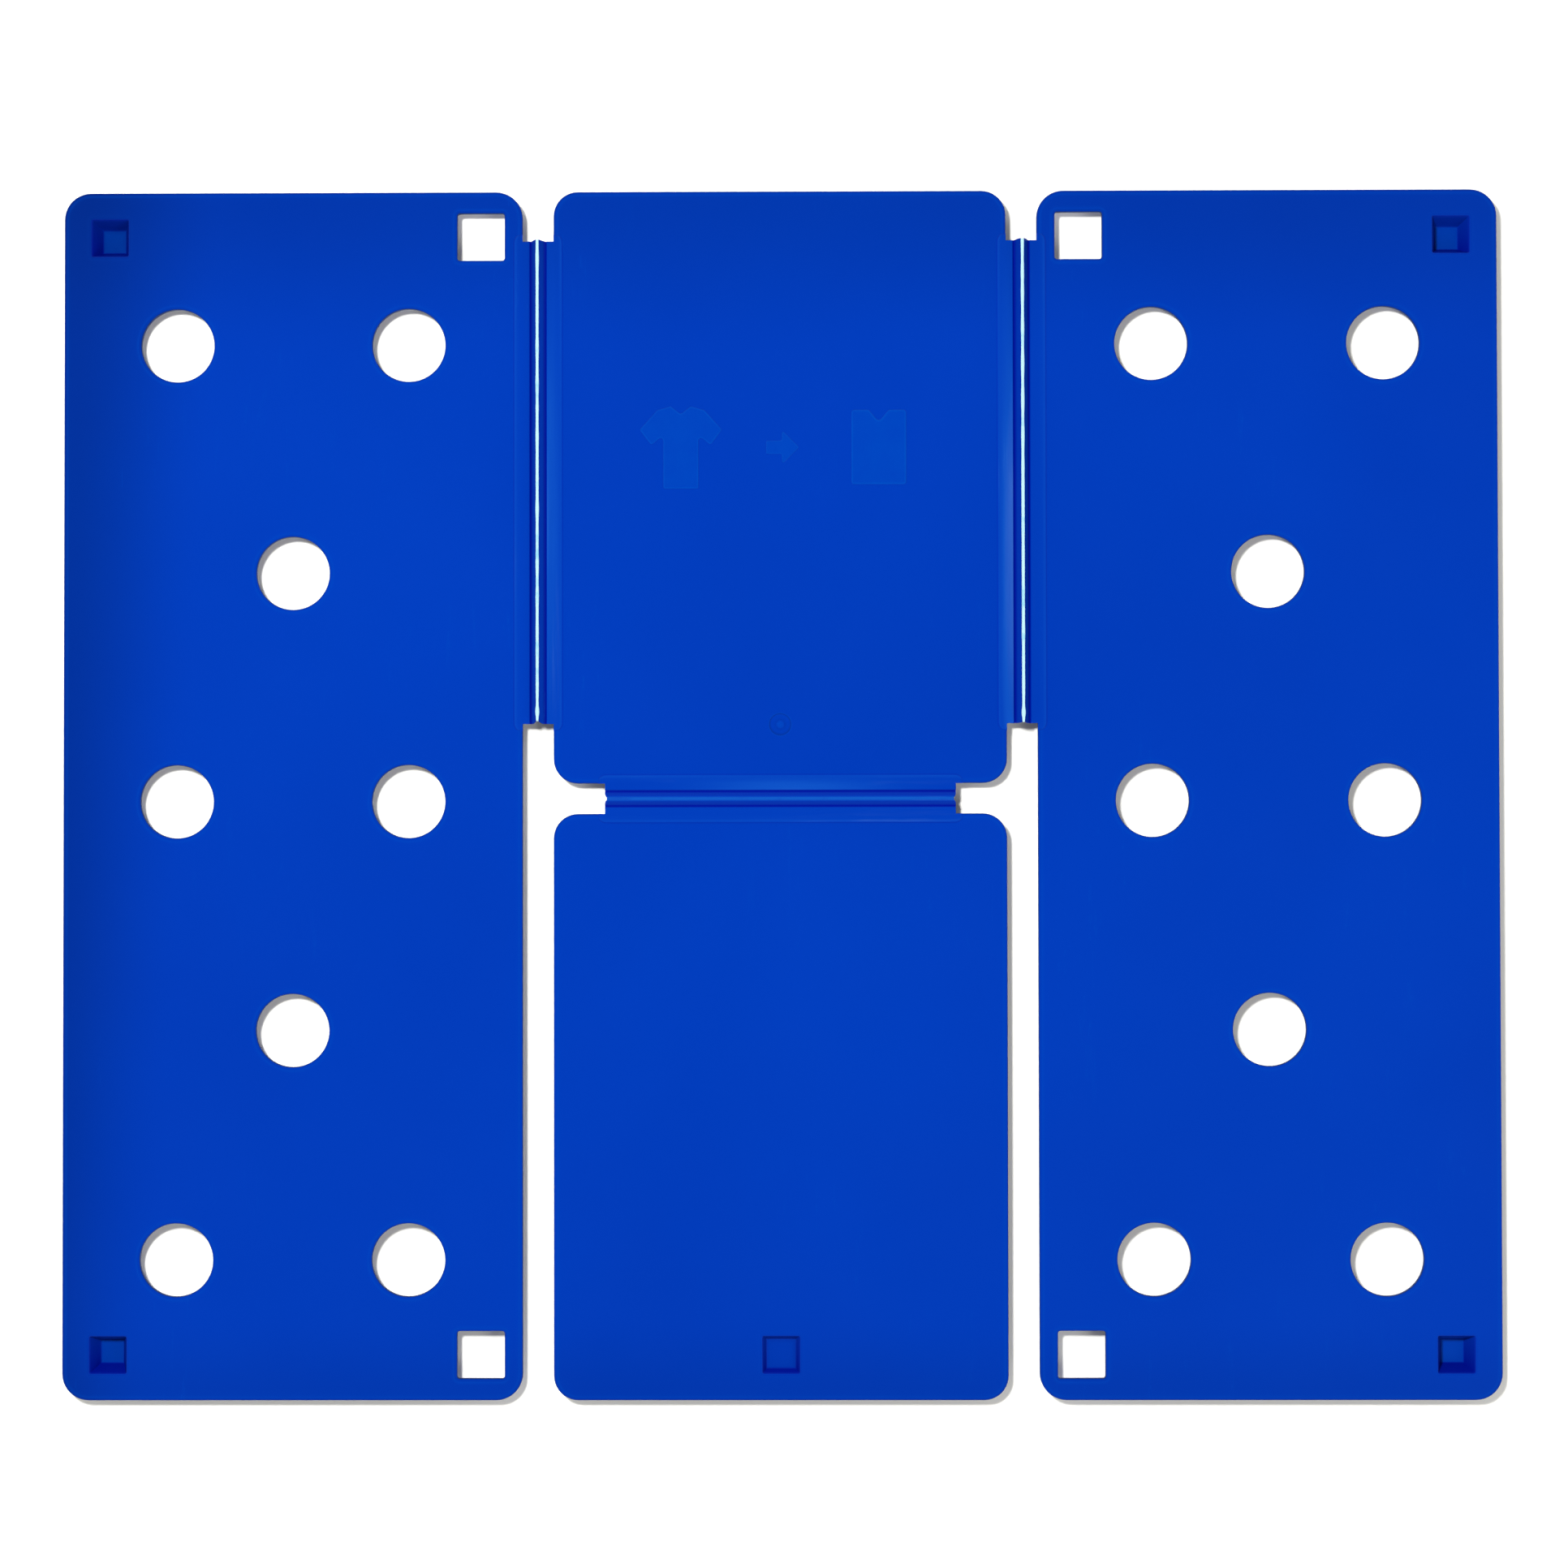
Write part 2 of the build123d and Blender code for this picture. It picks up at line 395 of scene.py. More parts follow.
def noise_node(tree, coordinates, scale, detail=3.0, roughness=0.55, stretch=(1, 1, 1)):
    """A noise texture over the object's own metres, stretched along its axes."""
    mapping = add_node(tree, "ShaderNodeMapping", Scale=stretch)
    link(tree, coordinates, "Object", mapping, "Vector")
    texture = add_node(tree, "ShaderNodeTexNoise", Scale=scale, Detail=detail, Roughness=roughness)
    link(tree, mapping, "Vector", texture, "Vector")
    return texture


def ramp_node(tree, source, output, stops):
    """A colour ramp over a value: stops are (place, colour)."""
    ramp = add_node(tree, "ShaderNodeValToRGB")
    elements = ramp.color_ramp.elements
    while len(elements) < len(stops):
        elements.new(0.5)
    for element, (place, colour) in zip(elements, stops):
        element.position = place
        element.color = (*colour, 1)
    link(tree, source, output, ramp, "Fac")
    return ramp


def range_node(tree, source, output, start, end, low=0.0, high=1.0, smooth=False):
    """A clamped map from start..end to low..high."""
    node = add_node(tree, "ShaderNodeMapRange", interpolation_type="SMOOTHSTEP" if smooth else "LINEAR")
    for socket, value in (("From Min", start), ("From Max", end), ("To Min", low), ("To Max", high)):
        node.inputs[socket].default_value = value
    link(tree, source, output, node, "Value")
    return node


def multiply_node(tree, source_a, output_a, source_b, output_b):
    node = add_node(tree, "ShaderNodeMath", operation="MULTIPLY")
    link(tree, source_a, output_a, node, 0)
    link(tree, source_b, output_b, node, 1)
    return node


def tint_node(tree, base, base_output, factor, factor_output, colour):
    """Mixes a fixed colour into a base colour by a factor."""
    node = add_node(tree, "ShaderNodeMixRGB", Color2=(*colour, 1))
    link(tree, base, base_output, node, "Color1")
    link(tree, factor, factor_output, node, "Fac")
    return node


def bump_node(tree, height, output, strength, distance, below=None):
    node = add_node(tree, "ShaderNodeBump", Strength=strength, Distance=distance)
    link(tree, height, output, node, "Height")
    if below:
        link(tree, below, "Normal", node, "Normal")
    return node


def painted_edge_shade(tree, coordinates):
    """Painted shade toward the board's outer edges: 1 well inside the board, less toward its outer edges."""
    low, high = CAD_BOX
    left_reach, upper_reach, lower_reach = 65 * MM, 85 * MM, 45 * MM
    left_least, upper_least, lower_least = 0.64, 0.82, 0.88
    axes = add_node(tree, "ShaderNodeSeparateXYZ")
    link(tree, coordinates, "Object", axes, "Vector")
    # The painted dark left margin widens toward the upper end.
    slant = add_node(tree, "ShaderNodeVectorMath", operation="DOT_PRODUCT")
    slant.inputs[1].default_value = (1.0, -0.06, 0.0)
    link(tree, coordinates, "Object", slant, 0)
    left_start, left_end = low[0] - 10 * MM, low[0] + left_reach
    left = range_node(tree, slant, "Value", left_start, left_end, left_least, 1.0, smooth=True)
    upper = range_node(tree, axes, "Y", high[1] - upper_reach, high[1], 1.0, upper_least, smooth=True)
    lower = range_node(tree, axes, "Y", low[1], low[1] + lower_reach, lower_least, 1.0, smooth=True)
    ends = multiply_node(tree, upper, "Result", lower, "Result")
    return multiply_node(tree, left, "Result", ends, "Value")


def plastic(name, deep, pale, dark_shade, light_shade, roughness, along=(1, 1, 1), scuffs_and_glare=0.0):
    """Satin moulded polypropylene.

    Slow clouds between a deep and a pale blue, painted shade toward the board's outer edges, the
    painted shade and painted highlight lines that the mesh's shade attribute places, streaks along the
    moulding, a fine grain, and hairline scratches.
    """
    material, tree, shader = new_material(name)
    coordinates = add_node(tree, "ShaderNodeTexCoord")
    clouds = noise_node(tree, coordinates, 4.5, detail=4.0, roughness=0.5)
    colour = ramp_node(tree, clouds, "Fac", [(0.32, deep), (0.68, pale)])
    # Painted shade darkens the colour toward the board's outer edges.
    falloff = painted_edge_shade(tree, coordinates)
    dimmed = add_node(tree, "ShaderNodeMixRGB", blend_type="MULTIPLY", Fac=1.0)
    link(tree, colour, "Color", dimmed, "Color1")
    link(tree, falloff, "Value", dimmed, "Color2")

    # The shade attribute mixes in painted shade below 0 and painted highlights above 0.
    shade = add_node(tree, "ShaderNodeAttribute", attribute_name=SHADE)
    darkness = range_node(tree, shade, "Fac", 0.0, -1.0)
    lightness = range_node(tree, shade, "Fac", 0.0, 1.0)
    streaks = noise_node(tree, coordinates, 90.0, detail=4.0, roughness=0.65, stretch=along)
    uneven = range_node(tree, streaks, "Fac", 0.30, 0.62, 0.65, 1.0)
    light_lines = multiply_node(tree, lightness, "Result", uneven, "Result")
    shaded = tint_node(tree, dimmed, "Color", darkness, "Result", dark_shade)
    lit = tint_node(tree, shaded, "Color", light_lines, "Value", light_shade)
    last = lit
    # On the hinge leaves, past 1 the shade attribute mixes in a whitish colour that is painted glare with
    # some wear, and scuff streaks, partly painted glare, show only where the painted highlight is.
    if scuffs_and_glare:
        glare_and_wear = range_node(tree, shade, "Fac", 1.0, 2.0)
        glare_and_wear_lines = multiply_node(tree, glare_and_wear, "Result", uneven, "Result")
        lit = tint_node(tree, lit, "Color", glare_and_wear_lines, "Value", GLARE_AND_WEAR_BLUE)
        scuff_glare = range_node(tree, streaks, "Fac", 0.56, 0.72, 0.0, scuffs_and_glare)
        places = noise_node(tree, coordinates, 17.0, detail=2.0)
        patches = range_node(tree, places, "Fac", 0.50, 0.62)
        scuff_glare_patches = multiply_node(tree, scuff_glare, "Result", patches, "Result")
        scuff_glare_lines = multiply_node(tree, scuff_glare_patches, "Value", lightness, "Result")
        last = tint_node(tree, lit, "Color", scuff_glare_lines, "Value", SCUFF_AND_GLARE_COLOUR)
    hairs = noise_node(tree, coordinates, 34.0, detail=3.0, roughness=0.7, stretch=(9.0, 0.55, 1.0))
    hair_lines = ramp_node(tree, hairs, "Fac", [(0.655, (0, 0, 0)), (0.665, (1, 1, 1)), (0.68, (0, 0, 0))])
    hair_places = noise_node(tree, coordinates, 9.0, detail=1.0)
    hair_patches = range_node(tree, hair_places, "Fac", 0.52, 0.62, 0.0, 0.35)
    hair_mask = multiply_node(tree, hair_lines, "Color", hair_patches, "Result")
    scratched = tint_node(tree, last, "Color", hair_mask, "Value", light_shade)
    link(tree, scratched, "Color", shader, "Base Color")

    smudges = noise_node(tree, coordinates, 14.0, detail=5.0, roughness=0.6)
    sheen = range_node(tree, smudges, "Fac", 0.3, 0.75, roughness - 0.06, roughness + 0.08)
    link(tree, sheen, "Result", shader, "Roughness")

    grain = noise_node(tree, coordinates, 1400.0, detail=2.0)
    waves = noise_node(tree, coordinates, 7.0, detail=2.0)
    grain_bump = bump_node(tree, grain, "Fac", 0.12, 0.00005)
    wave_bump = bump_node(tree, waves, "Fac", 0.25, 0.002, grain_bump)
    hair_bump = bump_node(tree, hair_mask, "Value", 0.15, 0.00005, wave_bump)
    link(tree, hair_bump, "Normal", shader, "Normal")
    shader.inputs["IOR"].default_value = 1.49
    shader.inputs["Specular IOR Level"].default_value = 0.15
    shader.inputs["Specular Tint"].default_value = (0.25, 0.6, 1.0, 1.0)
    return material


def web_plastic(name, pale, deep):
    """Polypropylene stretched thin, with cloudier blue stretches: its light base colour is partly stress
    whitening and partly painted light, the glow of light through the thin web.
    """
    material, tree, shader = new_material(name)
    coordinates = add_node(tree, "ShaderNodeTexCoord")
    clouds = noise_node(tree, coordinates, 55.0, detail=4.0, roughness=0.6)
    colour = ramp_node(tree, clouds, "Fac", [(0.34, deep), (0.46, pale)])
    link(tree, colour, "Color", shader, "Base Color")
    ripple = noise_node(tree, coordinates, 900.0, detail=2.0)
    bump = bump_node(tree, ripple, "Fac", 0.2, 0.00005)
    link(tree, bump, "Normal", shader, "Normal")
    shader.inputs["Roughness"].default_value = 0.35
    shader.inputs["IOR"].default_value = 1.49
    return material


# The colours that the shade attribute mixes in are painted light: the navy, pocket and crease blues are
# painted shade, the edge and leaf highlight blues are painted highlights (the edge one also colours hairline
# scratches), and the whitish blue and the scuff colour are painted glare with some wear. The deep and pale
# blues are the plastic's own tone.
SCUFF_AND_GLARE_COLOUR = (0.10, 0.22, 0.44)
GLARE_AND_WEAR_BLUE = (0.023, 0.082, 0.352)
DEEP_BLUE, PALE_BLUE = (0.0, 0.0235, 0.268), (0.0, 0.0265, 0.288)
SHADE_NAVY = (0.0, 0.010, 0.080)
POCKET_SHADE_BLUE = (0.0, 0.0028, 0.17)
CREASE_SHADE_BLUE = (0.0, 0.0040, 0.20)
EDGE_HIGHLIGHT_BLUE = (0.0, 0.046, 0.31)
LEAF_HIGHLIGHT_BLUE = (0.003, 0.052, 0.325)
ALONG_Y, ALONG_X = (3.0, 0.12, 1.0), (0.12, 3.0, 1.0)

PANEL_BLUE = plastic("panel_plastic", DEEP_BLUE, PALE_BLUE, SHADE_NAVY, EDGE_HIGHLIGHT_BLUE, 0.42)
SIDE_LEAF_BLUE = plastic(
    "side_leaf_plastic", DEEP_BLUE, PALE_BLUE, CREASE_SHADE_BLUE, LEAF_HIGHLIGHT_BLUE, 0.36, ALONG_Y, scuffs_and_glare=0.12
)
CROSS_LEAF_BLUE = plastic(
    "cross_leaf_plastic", DEEP_BLUE, PALE_BLUE, CREASE_SHADE_BLUE, LEAF_HIGHLIGHT_BLUE, 0.36, ALONG_X, scuffs_and_glare=0.3
)
FOOT_BLUE = plastic("foot_plastic", DEEP_BLUE, PALE_BLUE, POCKET_SHADE_BLUE, EDGE_HIGHLIGHT_BLUE, 0.45)
MARK_BLUE = plastic("mark_plastic", DEEP_BLUE, PALE_BLUE, SHADE_NAVY, EDGE_HIGHLIGHT_BLUE, 0.38)
# Both webs' light colours are partly painted light: the pale side webs and the brighter blue cross web glow
# as if lit through the thin plastic.
PALE_LIT_WEB = web_plastic("pale_web_plastic", (0.34, 0.54, 0.58), (0.20, 0.44, 0.54))
GLOWING_BLUE_WEB = web_plastic("blue_web_plastic", (0.0, 0.056, 0.33), (0.0, 0.042, 0.305))


# ---------------------------------------------------------------------------------------------
# Feet: hollow square cups
# ---------------------------------------------------------------------------------------------
def pocket_of(foot):
    """(x, y, pocket depth, floor width) of a foot, from its CAD node."""
    low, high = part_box(foot)
    floor_width = CENTRE_POCKET_FLOOR_WIDTH if foot == "lower_centre_foot" else WING_POCKET_FLOOR_WIDTH
    return (low.x + high.x) / 2, (low.y + high.y) / 2, SHEET_TOP - low.z - FOOT_FLOOR, floor_width


def pocket_growth(pocket, depth):
    """How far a pocket's wall stands out from its mouth at a depth below the sheet's top."""
    _, _, pocket_depth, floor_width = pocket
    return (floor_width - FOOT_MOUTH_WIDTH) / 2 * depth / pocket_depth


def mouth_outline(pocket):
    width = FOOT_MOUTH_WIDTH
    return rounded_rectangle(pocket[:2], width, width, FOOT_CORNER_RADIUS, 5, FINE_STEP)


def mouth_profile(pocket):
    """The stretch of a pocket's wall in the sheet: a rounded lip, then the taper."""
    # The lip is painted darker as it turns and the walls carry painted shade.
    full_lip = rounded_lip(POCKET_LIP_RADIUS, SHEET_TOP)
    lip = [(inset, height, 0.8 * shade) for inset, height, shade in full_lip]
    thickness = SHEET_TOP - SHEET_BOTTOM
    depths = (0.8 * MM, thickness / 2, thickness)
    walls = [(pocket_growth(pocket, depth), SHEET_TOP - depth, POCKET_WALL_SHADE) for depth in depths]
    return highlit_margin(SHEET_TOP, POCKET_LIP_RADIUS, 0.05) + lip[:-1] + walls


def make_foot(name, body):
    """A cup whose inner wall carries on from the pocket's mouth in the sheet."""
    pocket = pocket_of(name)
    outline = mouth_outline(pocket)
    floor_depth, tip_depth = pocket[2], pocket[2] + FOOT_FLOOR
    mouth_depth = SHEET_TOP - SHEET_BOTTOM

    def inner(depth, inset=0.0, shade=POCKET_WALL_SHADE):
        return pocket_growth(pocket, depth) - inset, SHEET_TOP - depth, shade

    def outer(depth, inset=0.0, shade=0.0):
        return pocket_growth(pocket, depth) + FOOT_WALL - inset, SHEET_TOP - depth, shade

    floor_shade = POCKET_FLOOR_SHADE if floor_depth > 2 * mouth_depth else SHALLOW_FLOOR_SHADE
    # Painted light: the deep pocket's floor is painted lighter, its walls and foot painted in shade, and the
    # cup's outer tip painted dark at its rounding and light at its bottom.
    profile = [
        inner(floor_depth, 2.2 * MM, floor_shade),
        inner(floor_depth, 0.5 * MM, floor_shade - 0.1),
        inner(floor_depth - 0.12 * MM, 0.12 * MM, POCKET_FOOT_SHADE),
        inner(floor_depth - 0.5 * MM),
        inner((mouth_depth + floor_depth) / 2),
        inner(mouth_depth),
        outer(mouth_depth),
        outer(tip_depth - 0.7 * MM),
        outer(tip_depth - 0.2 * MM, 0.12 * MM, -0.2),
        outer(tip_depth, 0.6 * MM, 0.3),
    ]
    mesh = new_mesh()
    rings = [add_ring(mesh, outline(growth), height, shade) for growth, height, shade in profile]
    for above, below in zip(rings, rings[1:]):
        bridge(mesh, above, below)
    mesh.faces.new(rings[0])
    mesh.faces.new(rings[-1][::-1])
    return finish_piece(mesh, name + "_cup", FOOT_BLUE, body, [name], smooth_angle=50)


# ---------------------------------------------------------------------------------------------
# Panels
# ---------------------------------------------------------------------------------------------
def panel_outline(node, corner_radius):
    low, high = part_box(node)
    return rounded_rectangle(
        ((low.x + high.x) / 2, (low.y + high.y) / 2), high.x - low.x, high.y - low.y, corner_radius
    )


def pocket_hole(foot):
    pocket = pocket_of(foot)
    return mouth_outline(pocket), mouth_profile(pocket), 1


def make_panels():
    edge = wall_profile(SHEET_TOP, SHEET_BOTTOM)
    pip = GATE_PIP_RADIUS - GATE_MARK_RADIUS
    # The gate mark is painted: shade in its dish, darker toward the lower side, and highlights on its rim and
    # pip.
    gate = [
        (0.9 * MM, SHEET_TOP, 0.0),
        (0.2 * MM, SHEET_TOP, 0.3),
        (0.0, SHEET_TOP - 0.1 * MM, -0.5),
        (-0.6 * MM, SHEET_TOP - GATE_MARK_DEPTH, (-0.25, 0.1)),
        (-1.6 * MM, SHEET_TOP - GATE_MARK_DEPTH, 0.0),
        (pip + 0.5 * MM, SHEET_TOP - GATE_MARK_DEPTH, -0.15),
        (pip, SHEET_TOP - 0.1 * MM, 0.3),
        (pip - GATE_PIP_RADIUS * 0.5, SHEET_TOP - 0.04 * MM, 0.4),
    ]
    node = "upper_centre_panel"
    mesh = plate(
        (panel_outline(node, CENTRE_CORNER_RADIUS), edge),
        dishes=[(circle((0, GATE_MARK_Y), GATE_MARK_RADIUS, 48), gate)],
    )
    finish_piece(mesh, "upper_centre_sheet", PANEL_BLUE, "upper_centre", [node])

    # The walls of the pockets' mouths have the feet's plastic, which is index 1, so that their painted shade
    # matches the feet's walls.
    sheet_blues = [PANEL_BLUE, FOOT_BLUE]
    node = "lower_centre_panel"
    mesh = plate(
        (panel_outline(node, CENTRE_CORNER_RADIUS), edge), through=[pocket_hole("lower_centre_foot")]
    )
    finish_piece(mesh, "lower_centre_sheet", sheet_blues, "lower_centre", [node])

    for side in SIDES:
        holes = []
        for opening in OPENINGS:
            if opening["name"].startswith(side):
                low, high = opening["box_m"]
                centre = ((low[0] + high[0]) / 2, (low[1] + high[1]) / 2)
                if "square" in opening["name"]:
                    width, radius = SQUARE_HOLE_WIDTH, SQUARE_HOLE_CORNER_RADIUS
                    square = rounded_rectangle(centre, width, width, radius, 5, FINE_STEP)
                    holes.append((square, edge))
                elif "air" in opening["name"]:
                    holes.append((circle(centre, AIR_HOLE_RADIUS), edge))
        holes += [pocket_hole(f"{side}_wing_{end}_foot") for end in ENDS]
        node = f"{side}_wing_panel"
        mesh = plate((panel_outline(node, WING_CORNER_RADIUS), edge), through=holes)
        finish_piece(mesh, f"{side}_wing_sheet", sheet_blues, f"{side}_wing", [node])


# ---------------------------------------------------------------------------------------------
# Hinges
# ---------------------------------------------------------------------------------------------
BAND_WIDTH = 4.9 * MM
BAND_CORNER_RADIUS = 4.5 * MM
BAND_HEIGHT = 0.3 * MM
LEAF_THICKNESS = 1.5 * MM
CREASE_HALF_WIDTH = 3.8 * MM
FLANK_WALL = 1.6 * MM
WEB_WIDTH = 1.4 * MM
WEB_THICKNESS = 0.4 * MM
NOTCH_DEPTH = 1.4 * MM
NOTCH_HALF_WIDTH = 2.5 * MM


def hinge_of(joint_name, centre_leaf, web, notches):
    """A hinge's middle, length, gap, band and crest, all measured on its CAD nodes.

    notches are how far the crest is drawn in at the hinge's lower or left end and at its other end.
    """
    along = Vector(map(abs, JOINTS[joint_name]["axis"]))
    across = Vector((along.y, along.x, 0))
    web_low, web_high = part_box(web)
    leaf_low, leaf_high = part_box(centre_leaf)
    middle = (web_low + web_high) / 2
    length = (web_high - web_low).dot(along) + 2 * NOTCH_DEPTH
    band_end = max(abs((corner - middle).dot(across)) for corner in (leaf_low, leaf_high))
    return {
        "middle": middle,
        "length": length,
        "band_end": band_end,
        "gap_half": band_end - BAND_WIDTH,
        "overrun": ((leaf_high - leaf_low).dot(along) - length) / 2,
        "crest": web_high.z - SHEET_TOP,
        "notches": notches,
    }


def notch_at(hinge, along, w):
    """The notch's depth at the end of the hinge that a place w along it is nearer to."""
    return hinge["notches"][1 if w * (along.x + along.y) > 0 else 0]


def leaf_section(hinge, highlight, flank, beside_web):
    """(distance from the fold line, height above the sheet, shade) over a leaf's top, going inward.

    The three shades after the hinge are the painted highlight next to the crease, the painted shade on the
    flank, and the painted shading at the web, dark below 0 and a glow above 0.
    """
    end, gap, crest = hinge["band_end"], hinge["gap_half"], hinge["crest"]
    crease, web = CREASE_HALF_WIDTH, WEB_WIDTH / 2
    rise = crease - web
    # Painted light across the leaf: the band is painted dark at its outer foot and light on its shoulder, the
    # painted highlight runs beside the crease, and the crease itself is painted dark as shade.
    band = [
        (end, -0.05 * MM, -0.30),
        (end - 0.25 * MM, 0.06 * MM, -0.42),
        (end - 0.6 * MM, 0.20 * MM, -0.10),
        (end - 1.0 * MM, 0.28 * MM, 0.40),
        (end - 1.5 * MM, BAND_HEIGHT, 0.35),
        (end - 2.4 * MM, BAND_HEIGHT, 0.10 + 0.25 * highlight),
        (gap, BAND_HEIGHT, 0.7 * highlight),
    ]
    strip = [
        (crease + 1.6 * MM, BAND_HEIGHT, 0.9 * highlight),
        (crease + 0.8 * MM, BAND_HEIGHT, highlight),
        (crease + 0.60 * MM, 0.9 * BAND_HEIGHT, 0.3 * highlight - 0.3),
        (crease + 0.35 * MM, 0.3 * BAND_HEIGHT, -0.9),
        (crease, -0.08 * MM, -1.0),
        (crease - 0.4 * MM, 0.06 * crest, -1.0),
        (crease - 0.8 * MM, 0.17 * crest, -0.6),
        (crease - 0.42 * rise, 0.42 * crest, flank),
        (crease - 0.70 * rise, 0.72 * crest, flank),
        # Next to the web: painted shade on the side hinges, a painted glow on the cross hinge.
        (web + 0.55 * MM, 0.86 * crest, 0.6 * flank + 0.3 * beside_web),
        (web + 0.25 * MM, 0.95 * crest, beside_web),
        (web, crest, beside_web),
    ]
    return band, strip


# How strong a leaf's painted highlight is: (most, the place of the most along the hinge, spread)
FAINT_HIGHLIGHT = (0.1, 0.0, 1.0)
CROSS_HIGHLIGHT = (1.1, 5 * MM, 45 * MM)
SIDE_HIGHLIGHT = {"left": (1.2, 145 * MM, 95 * MM), "right": (2.0, 120 * MM, 110 * MM)}


def highlight_at(highlight, along, spot):
    """How strong a leaf's painted highlight is at a spot, as a shade: 1 is brighter, and 2 is a whitish
    painted glare with some wear.
    """
    most, centre, spread = highlight
    place = abs(along.x) * spot.x + abs(along.y) * spot.y
    return most * math.exp(-(((place - centre) / spread) ** 2))


def make_leaf(name, node, hinge, outward, body, material, highlight, flank, beside_web=-0.75):
    """One side of a hinge: its band on the panel, the strip over the gap and the ridge's flank."""
    outward = Vector(outward)
    along = Vector((-outward.y, outward.x, 0))
    half, overrun, gap = hinge["length"] / 2, hinge["overrun"], hinge["gap_half"]
    end_u = hinge["band_end"]
    underside = BAND_HEIGHT - LEAF_THICKNESS
    mesh = new_mesh()

    def place(u, v, w, shade=0.0):
        spot = hinge["middle"] + outward * u + along * w
        return add_vert(mesh, (spot.x, spot.y, SHEET_TOP + v), shade)

    def section_at(w):
        return leaf_section(hinge, highlight_at(highlight, along, hinge["middle"] + along * w), flank, beside_web)

    def band_limit(w):
        """How far out the band reaches at a place along the hinge, inside its rounded corners."""
        into = abs(w) - (half + overrun - BAND_CORNER_RADIUS)
        if into <= 0:
            return end_u
        return end_u - BAND_CORNER_RADIUS + math.sqrt(max(0.0, BAND_CORNER_RADIUS**2 - into**2))

    steps = 40
    stations = [half * (2 * i / steps - 1) for i in range(steps + 1)]
    turns = [math.radians(90) * i / 9 for i in range(10)]
    overruns = [half + overrun - BAND_CORNER_RADIUS * (1 - math.sin(t)) for t in turns]
    overruns = [w for w in overruns if w > half + 0.2 * MM]
    places = [-w for w in overruns[::-1]] + stations + overruns

    tops, bottoms = [], []
    for w in places:
        share = max(0.12, (band_limit(w) - gap) / (end_u - gap))
        to_end = half + overrun - abs(w)
        height = min(1.0, max(0.0, to_end / (1.0 * MM)))
        # Toward the band's rounded ends the top dips and is painted darker as shade.
        dip, edge = 0.05 * MM * (1 - height), 0.35 * (1 - height)
        top = [
            place(gap + (u - gap) * share, v * height - dip, w, shade * height - edge)
            for u, v, shade in section_at(w)[0]
        ]
        tops.append(top)
        bottoms.append([place(gap + (end_u - gap) * share, underside, w), place(gap, underside, w)])
    for top_a, top_b, low_a, low_b in zip(tops, tops[1:], bottoms, bottoms[1:]):
        for i in range(len(top_a) - 1):
            mesh.faces.new((top_a[i], top_a[i + 1], top_b[i + 1], top_b[i]))
        mesh.faces.new((low_a[0], top_a[0], top_b[0], low_b[0]))
        mesh.faces.new((low_a[1], low_a[0], low_b[0], low_b[1]))
    mesh.faces.new([bottoms[0][1], bottoms[0][0], *tops[0]])
    mesh.faces.new([bottoms[-1][1], bottoms[-1][0], *tops[-1]][::-1])

    start = len(overruns)
    returning = [
        (WEB_WIDTH / 2, hinge["crest"] - WEB_THICKNESS, 0.0),
        (CREASE_HALF_WIDTH - FLANK_WALL, underside, 0.0),
    ]
    rows = []
    for index, w in enumerate(stations):
        row = [tops[start + index][-1]]
        for u, v, shade in section_at(w)[1] + returning:
            bell = 0.5 + 0.5 * math.cos(math.pi * min(1.0, u / NOTCH_HALF_WIDTH))
            limit = half - notch_at(hinge, along, w) * bell
            row.append(place(u, v, max(-limit, min(limit, w)), shade))
        row.append(bottoms[start + index][1])
        rows.append(row)
    for row_a, row_b in zip(rows, rows[1:]):
        for i in range(len(row_a) - 1):
            mesh.faces.new((row_a[i], row_a[i + 1], row_b[i + 1], row_b[i]))
    mesh.faces.new(rows[0][::-1])
    mesh.faces.new(rows[-1])
    # The band's inner wall, which faces the gap beyond the strip's ends.
    last = len(tops) - 1
    for i in [*range(start), *range(last - start, last)]:
        mesh.faces.new((tops[i][-1], bottoms[i][1], bottoms[i + 1][1], tops[i + 1][-1]))
    return finish_piece(mesh, name, material, body, [node], smooth_angle=60)


def web_half_width(w, from_end, wobble, bulge):
    """The web's uneven half width, with a bulge and two waists near one end."""
    drift = noise.noise(Vector((w / (9 * MM), 0.0, wobble)))
    ends = 1 + bulge * (
        0.25 * math.exp(-(((from_end - 5 * MM) / (2.2 * MM)) ** 2))
        - 0.22 * math.exp(-(((from_end - 10 * MM) / (2.5 * MM)) ** 2))
        - 0.35 * math.exp(-((from_end / (1.8 * MM)) ** 2))
    )
    return (WEB_WIDTH / 2 + 0.10 * MM + 0.12 * MM * drift) * ends


